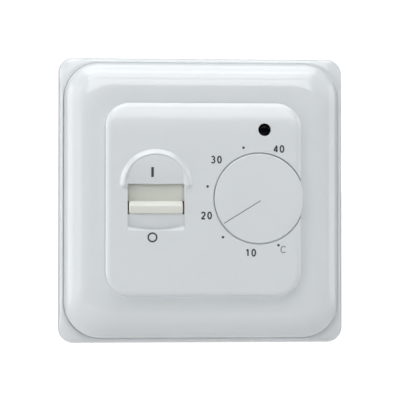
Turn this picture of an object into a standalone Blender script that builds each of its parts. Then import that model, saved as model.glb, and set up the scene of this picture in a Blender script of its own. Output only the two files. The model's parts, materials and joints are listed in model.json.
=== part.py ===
"""Flush wall thermostat for floor heating: dial 5 to 40 degrees, mains slider switch, 60 mm wall box.

Metres, +Z up. The front faces -Y, and the origin is the centre of the wall plane. Depths are given as
"out": the distance from the wall plane towards the room, so out = -y, and out is negative in the wall.
"""

import math

import bmesh
import bpy
from mathutils import Vector

# General
GAP = 0.0003  # clearance between pieces that touch
WELD = 1e-7
CORNER_STEPS = 6
ROUND_STEPS = 20

# Wall frame and trim frame, front view sizes
WALL_FRAME_HALF = 0.041
WALL_FRAME_CORNER = 0.0043
WALL_FRAME_OUT = 0.0030
TRIM_HALF = 0.0395
TRIM_CORNER = 0.0106
TRIM_BACK = WALL_FRAME_OUT + GAP
TRIM_CREST = 0.0103
TRIM_WALL = 0.0018

# Centre cover
COVER_HALF = 0.0275
COVER_CORNER = 0.0071
COVER_RIM = 0.0022
COVER_WALL = 0.0016
COVER_BACK = 0.0048
COVER_FACE = 0.0130

# Temperature knob and what is under it
KNOB_X = 0.01575
KNOB_Z = 0.0003
KNOB_RADIUS = 0.0127
KNOB_BACK = 0.0097
KNOB_PLATE = 0.0013
KNOB_SKIRT = 0.0012
KNOB_SKIRT_BACK = 0.0107  # it passes over the trim beside the cover
KNOB_HUB_RADIUS = 0.0036
WELL_RADIUS = KNOB_RADIUS + 0.0003
WELL_FLOOR = 0.0093
WELL_FLOOR_THICKNESS = 0.0015
SHAFT_RADIUS = 0.0020
SHAFT_CLEARANCE = 0.0003
LIMIT_RING_BACK = 0.0096
LIMIT_RING_FRONT = 0.0108
LIMIT_TAB_FRONT = 0.0113
MIN_RING_RADII = (0.0042, 0.0056)
MAX_RING_RADII = (0.0060, 0.0074)
MIN_TAB_ANGLE = math.radians(-110)
MAX_TAB_ANGLE = math.radians(60)
COVER_SCREW_Z = KNOB_Z - 0.0098

# Mains slider switch
SWITCH_X = -0.0135
SLOT_HALF_WIDTH = 0.0080
SLOT_TOP = 0.0044
SLOT_BOTTOM = -0.0042
HOOD_RADIUS = 0.0094  # centre line of the raised bead
HOOD_BEAD_RADIUS = 0.0010
HOOD_Z = 0.0041
HOOD_LIP_OUT = 0.0122
SCOOP_BOTTOM = -0.0084
SCOOP_SAGITTA = 0.0011
SCOOP_FLOOR_OUT = 0.0121
SLIDER_HALF_WIDTH = 0.0100
SLIDER_TOP = 0.0056
SLIDER_BOTTOM = -0.0093
SLIDER_BACK = 0.0096
SLIDER_PLATE_OUT = 0.0111
GRIP_HALF_WIDTH = 0.0075
GRIP_TOP = -0.0005
GRIP_BOTTOM = -0.0039
GRIP_OUT = 0.0140

# Indicator
INDICATOR_X = 0.0173
INDICATOR_Z = 0.0198
INDICATOR_RADIUS = 0.0018

# Chassis, mounting plate and rear housing
PLATE_HALF = 0.0350
PLATE_THICKNESS = 0.0012
PLATE_OPENING_RADIUS = 0.0238
FIXING_PITCH = 0.0600
CHASSIS_HALF = 0.0256
CHASSIS_BACK = PLATE_THICKNESS + GAP
CHASSIS_FLOOR = 0.0030
CHASSIS_FRONT = 0.0072
CHASSIS_WALL = 0.0015
HOUSING_HALF = 0.0260
HOUSING_CORNER = 0.0173
HOUSING_CORNER_STEPS = 14
HOUSING_WALL = 0.0015
HOUSING_DEPTH = 0.0220
HOUSING_SCREW_PLACE = 0.0186
HOUSING_SCREW_RADIUS = 0.0011

# Boards
BOARD_THICKNESS = 0.0016
CONTROL_BOARD_HALF = 0.0234
CONTROL_BOARD_BACK = 0.0046
CONTROL_BOARD_FRONT = CONTROL_BOARD_BACK + BOARD_THICKNESS
POWER_BOARD_HALF = 0.0230
POWER_BOARD_CORNER = 0.0218
POWER_BOARD_FRONT = -0.0032
POWER_BOARD_BACK = POWER_BOARD_FRONT - BOARD_THICKNESS
PARTS_LEVEL = POWER_BOARD_BACK - GAP  # where the power board's parts stand

# Potentiometer
POT_RADIUS = 0.0063
POT_FRONT = 0.0043
POT_REAR = -0.0010
POT_WALL = 0.0008
POT_BUSH_RADIUS = 0.0032
POT_BUSH_OUT = 0.0070

# Terminal block
POLES = 6
POLE_PITCH = 0.0050
BLOCK_HALF_WIDTH = 0.0153
BLOCK_BOTTOM = -0.0225
BLOCK_TOP = -0.0125
BLOCK_REAR = -0.0217
POLE_Z = -0.0182

WHITE = (0.84, 0.85, 0.86)
CREAM = (0.80, 0.79, 0.72)
GREY = (0.35, 0.36, 0.37)
BLACK = (0.02, 0.02, 0.022)
STEEL = (0.62, 0.63, 0.65)
BRASS = (0.78, 0.60, 0.30)
BOARD_GREEN = (0.03, 0.22, 0.10)


# Scene and helpers


def clear_scene():
    for obj in list(bpy.data.objects):
        bpy.data.objects.remove(obj, do_unlink=True)


def add_collection(name):
    collection = bpy.data.collections.new(name)
    bpy.context.scene.collection.children.link(collection)
    return collection


clear_scene()
PARTS = add_collection("wall_thermostat")
CUTTERS = add_collection("cutters")


def add_material(name, colour, roughness, metallic=0.0):
    material = bpy.data.materials.new(name)
    material.use_nodes = True
    shader = material.node_tree.nodes["Principled BSDF"]
    shader.inputs["Base Color"].default_value = (*colour, 1.0)
    shader.inputs["Roughness"].default_value = roughness
    shader.inputs["Metallic"].default_value = metallic
    material.diffuse_color = (*colour, 1.0)
    return material


def place(name, mesh, colour=None, roughness=0.3, metallic=0.0, location=(0.0, 0.0, 0.0)):
    """A part where a colour is given, and a cutter or other helper where it isn't."""
    obj = bpy.data.objects.new(name, mesh)
    obj.location = location
    if colour is None:
        obj.display_type = "WIRE"
        obj.hide_render = True
        CUTTERS.objects.link(obj)
        return obj
    mesh.materials.append(add_material(name, colour, roughness, metallic))
    mesh.shade_smooth()
    mesh.set_sharp_from_angle(angle=math.radians(35))
    PARTS.objects.link(obj)
    return obj


def finish_mesh(name, shape):
    """The bmesh as a welded mesh with its faces pointing out."""
    mesh = bpy.data.meshes.new(name)
    bmesh.ops.remove_doubles(shape, verts=shape.verts, dist=WELD)
    bmesh.ops.recalc_face_normals(shape, faces=shape.faces)
    shape.to_mesh(mesh)
    shape.free()
    return mesh


def combine(target, other, operation):
    modifier = target.modifiers.new(operation.title(), "BOOLEAN")
    modifier.operation = operation
    modifier.solver = "EXACT"
    modifier.object = other


def cut(target, cutter):
    combine(target, cutter, "DIFFERENCE")


def join(target, addition):
    combine(target, addition, "UNION")


def soften(obj, width, segments=1):
    modifier = obj.modifiers.new("Bevel", "BEVEL")
    modifier.width = width
    modifier.segments = segments
    modifier.limit_method = "ANGLE"
    modifier.angle_limit = math.radians(40)


# Shapes


def rounded_ring(half_x, half_z, corner, out, x=0.0, z=0.0, steps=CORNER_STEPS):
    """Points round a rectangle with round corners, parallel to the wall, from its right side."""
    points = []
    for quarter, (side_x, side_z) in enumerate(((1, 1), (-1, 1), (-1, -1), (1, -1))):
        centre_x = x + side_x * (half_x - corner)
        centre_z = z + side_z * (half_z - corner)
        for step in range(steps + 1):
            angle = math.pi / 2 * (quarter + step / steps)
            point_x = centre_x + corner * math.cos(angle)
            point_z = centre_z + corner * math.sin(angle)
            points.append(Vector((point_x, -out, point_z)))
    return points


def loft(name, rings, endless=False, location=(0.0, 0.0, 0.0), **look):
    """A solid through rings of equal length: capped at both ends, or endless like a picture frame."""
    shape = bmesh.new()
    loops = [[shape.verts.new(point) for point in ring] for ring in rings]
    pairs = list(zip(loops, loops[1:]))
    if endless:
        pairs.append((loops[-1], loops[0]))
    else:
        shape.faces.new(loops[0])
        shape.faces.new(loops[-1])
    for first, second in pairs:
        for index in range(len(first)):
            following = (index + 1) % len(first)
            corners = (first[index], first[following], second[following], second[index])
            shape.faces.new(corners)
    return place(name, finish_mesh(name, shape), location=location, **look)


def prism(name, half, corner, outs, x=0.0, z=0.0, steps=CORNER_STEPS, **look):
    """A plate or block with round upright corners. half is its half width, or (half width, half height)."""
    half_x, half_z = half if isinstance(half, tuple) else (half, half)
    middle = sum(outs) / 2
    half_depth = (outs[1] - outs[0]) / 2
    rings = [
        rounded_ring(half_x, half_z, corner, out, steps=steps) for out in (-half_depth, half_depth)
    ]
    return loft(name, rings, location=(x, -middle, z), **look)


def box(name, x_range, z_range, out_range, **look):
    """A plain box between two values on each axis."""
    size = (x_range[1] - x_range[0], out_range[1] - out_range[0], z_range[1] - z_range[0])
    shape = bmesh.new()
    bmesh.ops.create_cube(shape, size=1.0)
    bmesh.ops.scale(shape, vec=size, verts=shape.verts)
    location = (sum(x_range) / 2, -sum(out_range) / 2, sum(z_range) / 2)
    return place(name, finish_mesh(name, shape), location=location, **look)


def cylinder(name, radius, out_low, out_high, x, z, steps=ROUND_STEPS, **look):
    """A cylinder that stands square to the wall."""
    shape = bmesh.new()
    bmesh.ops.create_cone(
        shape,
        cap_ends=True,
        segments=steps,
        radius1=radius,
        radius2=radius,
        depth=out_high - out_low,
    )
    obj = place(name, finish_mesh(name, shape), **look)
    obj.location = (x, -(out_low + out_high) / 2, z)
    obj.rotation_euler = (math.pi / 2, 0.0, 0.0)
    return obj


def turned(name, profile, x, z, endless=False, faces_room=True, steps=ROUND_STEPS, **look):
    """A profile of (radius, out) turned about an axis square to the wall, front to back on its outside."""
    sign = 1 if faces_room else -1
    mesh = bpy.data.meshes.new(name)
    points = [(radius, 0.0, sign * out) for radius, out in profile]
    edges = [(index, index + 1) for index in range(len(points) - 1)]
    if endless:
        edges.append((len(points) - 1, 0))
    mesh.from_pydata(points, edges, [])
    obj = place(name, mesh, **look)
    obj.location = (x, 0.0, z)
    obj.rotation_euler = (sign * math.pi / 2, 0.0, 0.0)
    screw = obj.modifiers.new("Screw", "SCREW")
    screw.steps = steps
    screw.render_steps = steps
    screw.use_merge_vertices = True
    screw.merge_threshold = WELD
    return obj


def annulus(name, radii, out_low, out_high, x, z, **look):
    """A flat ring round an axis square to the wall."""
    inner, outer = radii
    profile = [(outer, out_high), (outer, out_low), (inner, out_low), (inner, out_high)]
    return turned(name, profile, x, z, endless=True, **look)


def slotted_screw(name, x, z, head, shank, faces_room=True, **look):
    """head and shank are (radius, out nearest the wall box or tip, out at the other end)."""
    head_radius, head_under, head_top = head
    shank_radius, tip = shank
    profile = [
        (0.0, head_top),
        (head_radius * 0.8, head_top),
        (head_radius, head_top + (head_under - head_top) * 0.35),
        (head_radius, head_under),
        (shank_radius, head_under),
        (shank_radius, tip + (head_under - tip) * 0.12),
        (0.0, tip),
    ]
    obj = turned(name, profile, x, z, faces_room=faces_room, steps=14, **look)
    slot_depth = (head_top - head_under) * 0.45
    slot_outs = sorted((head_top - slot_depth, head_top + slot_depth))
    slot_half = head_radius * 0.16
    reach = head_radius * 1.2
    slot = box(name + "_slot", (x - reach, x + reach), (z - slot_half, z + slot_half), slot_outs)
    cut(obj, slot)
    return obj


# Front pieces


def build_wall_frame():
    """The flat outer frame that lies on the wall, with a pocket behind it for the mounting plate."""
    half = WALL_FRAME_HALF
    corner = WALL_FRAME_CORNER
    web = CHASSIS_BACK
    opening = CHASSIS_HALF + 0.0004
    pocket = PLATE_HALF + 0.0005
    sections = [
        (half, 0.0, corner),
        (half, 0.0018, corner),
        (half - 0.0003, 0.0025, corner - 0.0003),
        (half - 0.0010, WALL_FRAME_OUT, corner - 0.0006),
        (opening, WALL_FRAME_OUT, 0.0046),
        (opening, web, 0.0046),
        (pocket, web, 0.0030),
        (pocket, 0.0, 0.0030),
    ]
    rings = [rounded_ring(reach, reach, radius, out) for reach, out, radius in sections]
    loft("wall_frame", rings, endless=True, colour=WHITE, roughness=0.25)


def trim_sections():
    """The trim frame's section, from its outer back edge over the crown and in, as (reach, out, corner)."""
    crown_steps = 7
    crown_inner = 0.0288
    inner = COVER_HALF + GAP
    inner_corner = COVER_CORNER + GAP
    corner_fall = (TRIM_CORNER - inner_corner) / (TRIM_HALF - inner)
    sections = [(TRIM_HALF, TRIM_BACK, TRIM_CORNER)]
    for step in range(crown_steps + 1):
        turn = math.pi / 2 * step / crown_steps
        reach = crown_inner + (TRIM_HALF - crown_inner) * math.cos(turn) ** 0.8
        out = 0.0042 + (TRIM_CREST - 0.0042) * math.sin(turn) ** 0.9
        corner = TRIM_CORNER - (TRIM_HALF - reach) * corner_fall
        sections.append((reach, out, corner))
    lip_front = COVER_BACK - GAP
    lip_inner = CHASSIS_HALF + GAP
    hollow_inner = inner + TRIM_WALL
    sections += [
        (inner, TRIM_CREST - 0.0004, inner_corner),
        (inner, lip_front, inner_corner),
        (lip_inner, lip_front, 0.0050),
        (lip_inner, TRIM_BACK, 0.0050),
        (hollow_inner, TRIM_BACK, 0.0075),
        (hollow_inner, TRIM_CREST - TRIM_WALL, 0.0075),
        (TRIM_HALF - 0.0055, TRIM_CREST - 0.0028, 0.0082),
        (TRIM_HALF - TRIM_WALL, TRIM_BACK + 0.0012, 0.0085),
        (TRIM_HALF - TRIM_WALL, TRIM_BACK, 0.0085),
    ]
    return sections


def build_trim_frame():
    rings = [rounded_ring(reach, reach, corner, out) for reach, out, corner in trim_sections()]
    loft("trim_frame", rings, endless=True, colour=WHITE, roughness=0.12)


def cover_blank():
    """The cover as a plain cup with a round rim, before anything is cut into it."""
    rim_steps = 4
    inner_half = COVER_HALF - COVER_WALL
    inner_corner = COVER_CORNER - COVER_WALL
    inner_face = COVER_FACE - COVER_WALL
    sections = [
        (inner_half - 0.0008, inner_face, inner_corner - 0.0008),
        (inner_half, inner_face - 0.0008, inner_corner),
        (inner_half, COVER_BACK, inner_corner),
        (COVER_HALF, COVER_BACK, COVER_CORNER),
    ]
    for step in range(rim_steps + 1):
        turn = math.pi / 2 * step / rim_steps
        inset = COVER_RIM * (1 - math.cos(turn))
        out = COVER_FACE - COVER_RIM + COVER_RIM * math.sin(turn)
        sections.append((COVER_HALF - inset, out, COVER_CORNER - inset))
    rings = [rounded_ring(reach, reach, corner, out) for reach, out, corner in sections]
    return loft("front_cover", rings, colour=WHITE, roughness=0.2)


def knob_well_wall():
    """The cup behind the knob, kept inside the cover's outer walls."""
    wall = cylinder(
        "knob_well_wall",
        WELL_RADIUS + 0.0013,
        WELL_FLOOR - WELL_FLOOR_THICKNESS,
        COVER_FACE - COVER_WALL / 2,
        KNOB_X,
        KNOB_Z,
        steps=40,
    )
    reach = COVER_HALF - COVER_WALL / 2
    limit = prism("knob_well_limit", reach, 0.0060, (0.0, 0.02))
    combine(wall, limit, "INTERSECT")
    return wall


def hood_bead():
    """The raised half-round bead over the top of the switch."""
    arch_steps = 16
    section_steps = 10
    rings = []
    for step in range(arch_steps + 1):
        turn = math.pi * step / arch_steps
        ring = []
        for part in range(section_steps):
            around = 2 * math.pi * part / section_steps
            reach = HOOD_RADIUS + HOOD_BEAD_RADIUS * math.cos(around)
            x = SWITCH_X + reach * math.cos(turn)
            z = HOOD_Z + reach * math.sin(turn)
            out = COVER_FACE - 0.0001 + HOOD_BEAD_RADIUS * math.sin(around)
            ring.append(Vector((x, -out, z)))
        rings.append(ring)
    return loft("hood_bead", rings)


def slanted_cutter(name, outline, floor_out):
    """An outline of (x, z), cut from the front down to floor_out(z)."""
    front = COVER_FACE + 0.002
    rings = [
        [Vector((x, -front, z)) for x, z in outline],
        [Vector((x, -floor_out(z), z)) for x, z in outline],
    ]
    return loft(name, rings)


def hood_floor_cutter():
    """The floor under the hood leans inwards from the bead to the lip over the slider."""
    reach = HOOD_RADIUS - 0.0007
    arch_steps = 12
    top = HOOD_Z + reach
    outline = []
    for step in range(arch_steps + 1):
        turn = math.pi * step / arch_steps
        z = max(HOOD_Z + reach * math.sin(turn), SLOT_TOP - 0.0002)
        outline.append((SWITCH_X + reach * math.cos(turn), z))

    def floor_out(z):
        share = (z - SLOT_TOP) / (top - SLOT_TOP)
        return HOOD_LIP_OUT + (COVER_FACE - 0.0001 - HOOD_LIP_OUT) * share

    return slanted_cutter("hood_floor_cutter", outline, floor_out)


def scoop_cutter():
    """The finger scoop below the slider, with a bowed lower edge."""
    edge_steps = 8
    outline = []
    for step in range(edge_steps + 1):
        share = 2 * step / edge_steps - 1
        z = SCOOP_BOTTOM + SCOOP_SAGITTA * share**2
        outline.append((SWITCH_X + SLOT_HALF_WIDTH * share, z))
    outline.append((SWITCH_X + SLOT_HALF_WIDTH, SLOT_BOTTOM + 0.0002))
    outline.append((SWITCH_X - SLOT_HALF_WIDTH, SLOT_BOTTOM + 0.0002))

    def floor_out(z):
        share = (SLOT_BOTTOM - z) / (SLOT_BOTTOM - SCOOP_BOTTOM)
        return SCOOP_FLOOR_OUT + 0.0005 * share

    return slanted_cutter("scoop_cutter", outline, floor_out)


def build_front_cover():
    cover = cover_blank()
    join(cover, knob_well_wall())
    well_front = COVER_FACE + 0.002
    behind = WELL_FLOOR - 0.003
    cut(cover, cylinder("knob_well", WELL_RADIUS, WELL_FLOOR, well_front, KNOB_X, KNOB_Z, steps=48))
    cut(cover, cylinder("shaft_hole", 0.0026, behind, well_front, KNOB_X, KNOB_Z))
    cut(cover, cylinder("screw_hole", 0.0013, behind, well_front, KNOB_X, COVER_SCREW_Z, steps=12))
    indicator = cylinder(
        "indicator_hole", INDICATOR_RADIUS, behind, well_front, INDICATOR_X, INDICATOR_Z
    )
    cut(cover, indicator)
    join(cover, hood_bead())
    cut(cover, hood_floor_cutter())
    cut(cover, scoop_cutter())
    slot_x = (SWITCH_X - SLOT_HALF_WIDTH, SWITCH_X + SLOT_HALF_WIDTH)
    cut(cover, box("slider_slot", slot_x, (SLOT_BOTTOM, SLOT_TOP), (behind, well_front)))
    for side, name in ((-1, "guide_rib_left"), (1, "guide_rib_right")):
        near = SWITCH_X + side * (SLIDER_HALF_WIDTH + 0.0004)
        far = near + side * 0.0011
        ends = sorted((near, far))
        join(cover, box(name, ends, (-0.0140, 0.0120), (0.0094, COVER_FACE - COVER_WALL / 2)))


def build_power_slider():
    """The sliding plate behind the cover, its grip in front, and a pocket for the switch carriage."""
    x_range = (SWITCH_X - SLIDER_HALF_WIDTH, SWITCH_X + SLIDER_HALF_WIDTH)
    z_range = (SLIDER_BOTTOM, SLIDER_TOP)
    slider = box(
        "power_slider", x_range, z_range, (SLIDER_BACK, SLIDER_PLATE_OUT), colour=CREAM, roughness=0.35
    )
    section = [
        (SLIDER_PLATE_OUT - 0.0004, GRIP_TOP),
        (GRIP_OUT - 0.0009, GRIP_TOP - 0.0001),
        (GRIP_OUT - 0.0001, GRIP_TOP - 0.0010),
        (GRIP_OUT, GRIP_TOP - 0.0012),
        (GRIP_OUT, GRIP_BOTTOM + 0.0004),
        (GRIP_OUT - 0.0003, GRIP_BOTTOM),
        (SLIDER_PLATE_OUT - 0.0004, GRIP_BOTTOM),
    ]
    ends = (SWITCH_X - GRIP_HALF_WIDTH, SWITCH_X + GRIP_HALF_WIDTH)
    rings = [[Vector((x, -out, z)) for out, z in section] for x in ends]
    join(slider, loft("slider_grip", rings))
    pocket = box(
        "carriage_pocket",
        (SWITCH_X - 0.0022, SWITCH_X + 0.0022),
        (-0.0040, -0.0008),
        (SLIDER_BACK - 0.001, 0.0120),
    )
    cut(slider, pocket)


def build_temperature_knob():
    under = COVER_FACE - KNOB_PLATE
    bore = SHAFT_RADIUS + SHAFT_CLEARANCE
    profile = [
        (0.0, COVER_FACE),
        (KNOB_RADIUS - 0.0004, COVER_FACE),
        (KNOB_RADIUS, COVER_FACE - 0.0004),
        (KNOB_RADIUS, KNOB_SKIRT_BACK),
        (KNOB_RADIUS - KNOB_SKIRT, KNOB_SKIRT_BACK),
        (KNOB_RADIUS - KNOB_SKIRT, under),
        (KNOB_HUB_RADIUS, under),
        (KNOB_HUB_RADIUS, KNOB_BACK),
        (bore, KNOB_BACK),
        (bore, under),
        (0.0, under),
    ]
    turned("temperature_knob", profile, KNOB_X, KNOB_Z, steps=48, colour=WHITE, roughness=0.25)


def build_limit_ring(name, radii, tab_angle, colour):
    """A ring under the knob that is turned by hand to limit the knob's travel, with a finger tab."""
    ring = annulus(
        name, radii, LIMIT_RING_BACK, LIMIT_RING_FRONT, KNOB_X, KNOB_Z, colour=colour, roughness=0.4
    )
    middle = sum(radii) / 2
    x = KNOB_X + middle * math.cos(tab_angle)
    z = KNOB_Z + middle * math.sin(tab_angle)
    tab_half = 0.0005
    tab_outs = (LIMIT_RING_FRONT - 0.0005, LIMIT_TAB_FRONT)
    tab = box(name + "_tab", (x - tab_half, x + tab_half), (z - tab_half, z + tab_half), tab_outs)
    join(ring, tab)


def build_indicator():
    """The smoked lens behind the cover's hole, and the light-emitting diode on the control board."""
    flange_front = COVER_FACE - COVER_WALL - GAP
    nose = INDICATOR_RADIUS - GAP
    lens_profile = [
        (0.0, flange_front + 0.0011),
        (nose * 0.7, flange_front + 0.0010),
        (nose, flange_front + 0.0006),
        (nose, flange_front),
        (0.0025, flange_front),
        (0.0025, flange_front - 0.0009),
        (0.0, flange_front - 0.0009),
    ]
    turned("indicator_lens", lens_profile, INDICATOR_X, INDICATOR_Z, colour=BLACK, roughness=0.1)
    foot = CONTROL_BOARD_FRONT + GAP
    led_profile = [
        (0.0, foot + 0.0031),
        (0.0008, foot + 0.0029),
        (0.0013, foot + 0.0024),
        (0.0015, foot + 0.0017),
        (0.0015, foot + 0.0006),
        (0.0019, foot + 0.0006),
        (0.0019, foot),
        (0.0, foot),
    ]
    red = (0.65, 0.05, 0.04)
    turned("indicator_led", led_profile, INDICATOR_X, INDICATOR_Z, steps=16, colour=red, roughness=0.15)


# Carrying pieces


def build_mounting_plate():
    plate = prism(
        "mounting_plate",
        PLATE_HALF,
        0.0025,
        (0.0, PLATE_THICKNESS),
        colour=STEEL,
        roughness=0.35,
        metallic=1.0,
    )
    cut(plate, cylinder("plate_opening", PLATE_OPENING_RADIUS, -0.001, 0.003, 0.0, 0.0, steps=48))
    half_pitch = FIXING_PITCH / 2
    length = 0.0040
    width = 0.0019
    through = (-0.001, 0.003)
    for side, word in ((-1, "low"), (1, "high")):
        cut(plate, prism("slot_x_" + word, (width, length), 0.0018, through, x=side * half_pitch))
        cut(plate, prism("slot_z_" + word, (length, width), 0.0018, through, z=side * half_pitch))
    for number, (x, z) in enumerate(screw_places(), 1):
        hole = cylinder(f"plate_hole_{number}", 0.0013, -0.001, 0.003, x, z, steps=12)
        cut(plate, hole)


def screw_places():
    place_at = HOUSING_SCREW_PLACE
    return [(side_x * place_at, side_z * place_at) for side_x in (-1, 1) for side_z in (-1, 1)]


def build_chassis():
    """The moulded tray in front of the mounting plate: it carries the control board and the cover."""
    half = CHASSIS_HALF
    outs = (CHASSIS_BACK, CHASSIS_FRONT)
    chassis = prism("chassis", half, 0.0045, outs, colour=GREY, roughness=0.5)
    cut(chassis, prism("tray", half - CHASSIS_WALL, 0.0030, (CHASSIS_FLOOR, CHASSIS_FRONT + 0.001)))
    rest_limit = prism("rest_limit", half - 0.0005, 0.0040, (0.0, 0.01))
    for number, (x, z) in enumerate(screw_places(), 1):
        side_x = math.copysign(1, x)
        side_z = math.copysign(1, z)
        near = CONTROL_BOARD_HALF - 0.0024
        x_range = sorted((side_x * near, side_x * (half - 0.001)))
        z_range = sorted((side_z * near, side_z * (half - 0.001)))
        rest_out = (CHASSIS_FLOOR - 0.0005, CONTROL_BOARD_BACK - GAP)
        corner_rest = box(f"board_rest_{number}", x_range, z_range, rest_out)
        combine(corner_rest, rest_limit, "INTERSECT")
        join(chassis, corner_rest)
        cut(chassis, cylinder(f"chassis_hole_{number}", 0.0014, 0.0, 0.006, x, z, steps=12))
    post_top = WELL_FLOOR - WELL_FLOOR_THICKNESS - GAP
    post = cylinder(
        "cover_post", 0.0021, CHASSIS_FLOOR - 0.0005, post_top, KNOB_X, COVER_SCREW_Z, steps=16
    )
    join(chassis, post)
    cut(chassis, cylinder("pilot_hole", 0.00125, 0.0038, 0.01, KNOB_X, COVER_SCREW_Z, steps=12))
    cut(chassis, cylinder("pot_window", POT_RADIUS + 0.0006, 0.0, 0.0032, KNOB_X, KNOB_Z, steps=32))
    cut(chassis, prism("header_window", (0.0020, 0.0090), 0.0008, (0.0, 0.0040), x=-0.0140))


def build_rear_housing():
    """The deep cup that sits in the wall box, open to the front, with four screw bosses."""
    half = HOUSING_HALF
    corner = HOUSING_CORNER
    outs = (-HOUSING_DEPTH, -GAP)
    housing = prism(
        "rear_housing", half, corner, outs, steps=HOUSING_CORNER_STEPS, colour=GREY, roughness=0.5
    )
    cavity_outs = (-HOUSING_DEPTH + HOUSING_WALL, 0.001)
    cavity = prism(
        "housing_cavity",
        half - HOUSING_WALL,
        corner - HOUSING_WALL,
        cavity_outs,
        steps=HOUSING_CORNER_STEPS,
    )
    cut(housing, cavity)
    inset = 0.0006
    boss_limit = prism("boss_limit", half - inset, corner - inset, (-0.02, 0.001))
    for number, (x, z) in enumerate(screw_places(), 1):
        boss = cylinder(f"housing_boss_{number}", 0.0024, -0.0095, -GAP, x, z, steps=16)
        combine(boss, boss_limit, "INTERSECT")
        join(housing, boss)
        cut(housing, cylinder(f"boss_hole_{number}", 0.0014, -0.0088, 0.001, x, z, steps=12))
    window_half = BLOCK_HALF_WIDTH + 0.0005
    window = box(
        "terminal_window",
        (-window_half, window_half),
        (-half - 0.001, BLOCK_TOP + 0.0003),
        (-HOUSING_DEPTH - 0.001, -0.0085),
    )
    cut(housing, window)


def build_screws():
    for number, (x, z) in enumerate(screw_places(), 1):
        under = CHASSIS_FLOOR + GAP
        slotted_screw(
            f"housing_screw_{number}",
            x,
            z,
            head=(0.0020, under, under + 0.0009),
            shank=(HOUSING_SCREW_RADIUS, -0.0080),
            colour=STEEL,
            roughness=0.3,
            metallic=1.0,
        )
    under = WELL_FLOOR + GAP
    slotted_screw(
        "cover_screw",
        KNOB_X,
        COVER_SCREW_Z,
        head=(0.0017, under, under + 0.0011),
        shank=(0.0009, 0.0045),
        colour=STEEL,
        roughness=0.3,
        metallic=1.0,
    )


# Control board and what is on it


def build_control_board():
    half = CONTROL_BOARD_HALF
    outs = (CONTROL_BOARD_BACK, CONTROL_BOARD_FRONT)
    board = prism("control_board", half, 0.0020, outs, colour=BOARD_GREEN, roughness=0.4)
    cut(board, cylinder("bush_hole", POT_BUSH_RADIUS + GAP, 0.004, 0.007, KNOB_X, KNOB_Z))
    cut(board, cylinder("post_hole", 0.0026, 0.004, 0.007, KNOB_X, COVER_SCREW_Z))
    plastic = {"colour": BLACK, "roughness": 0.5}
    chip_outs = (CONTROL_BOARD_FRONT + GAP, CONTROL_BOARD_FRONT + GAP + 0.0015)
    soften(box("control_chip", (-0.0110, -0.0050), (0.0145, 0.0190), chip_outs, **plastic), 0.0002)
    header_outs = (POWER_BOARD_FRONT + GAP, CONTROL_BOARD_BACK - GAP)
    soften(box("board_connector", (-0.0153, -0.0127), (-0.0080, 0.0080), header_outs, **plastic), 0.0003)


def build_potentiometer():
    """Body cup with its bush, carbon track, shaft with a flat, and the wiper on the shaft."""
    bore = SHAFT_RADIUS + SHAFT_CLEARANCE
    inside = POT_RADIUS - POT_WALL
    floor = POT_FRONT - 0.0010
    body_profile = [
        (POT_BUSH_RADIUS, POT_BUSH_OUT),
        (POT_BUSH_RADIUS, POT_FRONT),
        (POT_RADIUS, POT_FRONT),
        (POT_RADIUS, POT_REAR),
        (inside, POT_REAR),
        (inside, floor),
        (bore, floor),
        (bore, POT_BUSH_OUT),
    ]
    turned(
        "potentiometer_body", body_profile, KNOB_X, KNOB_Z, endless=True, steps=28,
        colour=STEEL, roughness=0.35, metallic=1.0,
    )
    track_front = floor - GAP
    track_back = track_front - 0.0007
    annulus(
        "potentiometer_track", (0.0030, 0.0052), track_back, track_front, KNOB_X, KNOB_Z,
        colour=BLACK, roughness=0.6,
    )
    shaft_front = COVER_FACE - KNOB_PLATE - GAP
    shaft = cylinder(
        "potentiometer_shaft", SHAFT_RADIUS, 0.0004, shaft_front, KNOB_X, KNOB_Z, steps=24,
        colour=WHITE, roughness=0.4,
    )
    flat = box(
        "shaft_flat",
        (KNOB_X - 0.003, KNOB_X + 0.003),
        (KNOB_Z + SHAFT_RADIUS * 0.7, KNOB_Z + 0.003),
        (KNOB_BACK - 0.001, shaft_front + 0.001),
    )
    cut(shaft, flat)
    wiper_front = track_back - GAP
    wiper_outs = (wiper_front - 0.0006, wiper_front)
    wiper = annulus(
        "potentiometer_wiper", (bore, 0.0031), *wiper_outs, KNOB_X, KNOB_Z,
        colour=BRASS, roughness=0.3, metallic=1.0,
    )
    arm = box(
        "wiper_arm", (KNOB_X - 0.0006, KNOB_X + 0.0006), (KNOB_Z + 0.0027, KNOB_Z + 0.0050), wiper_outs
    )
    join(wiper, arm)


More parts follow.
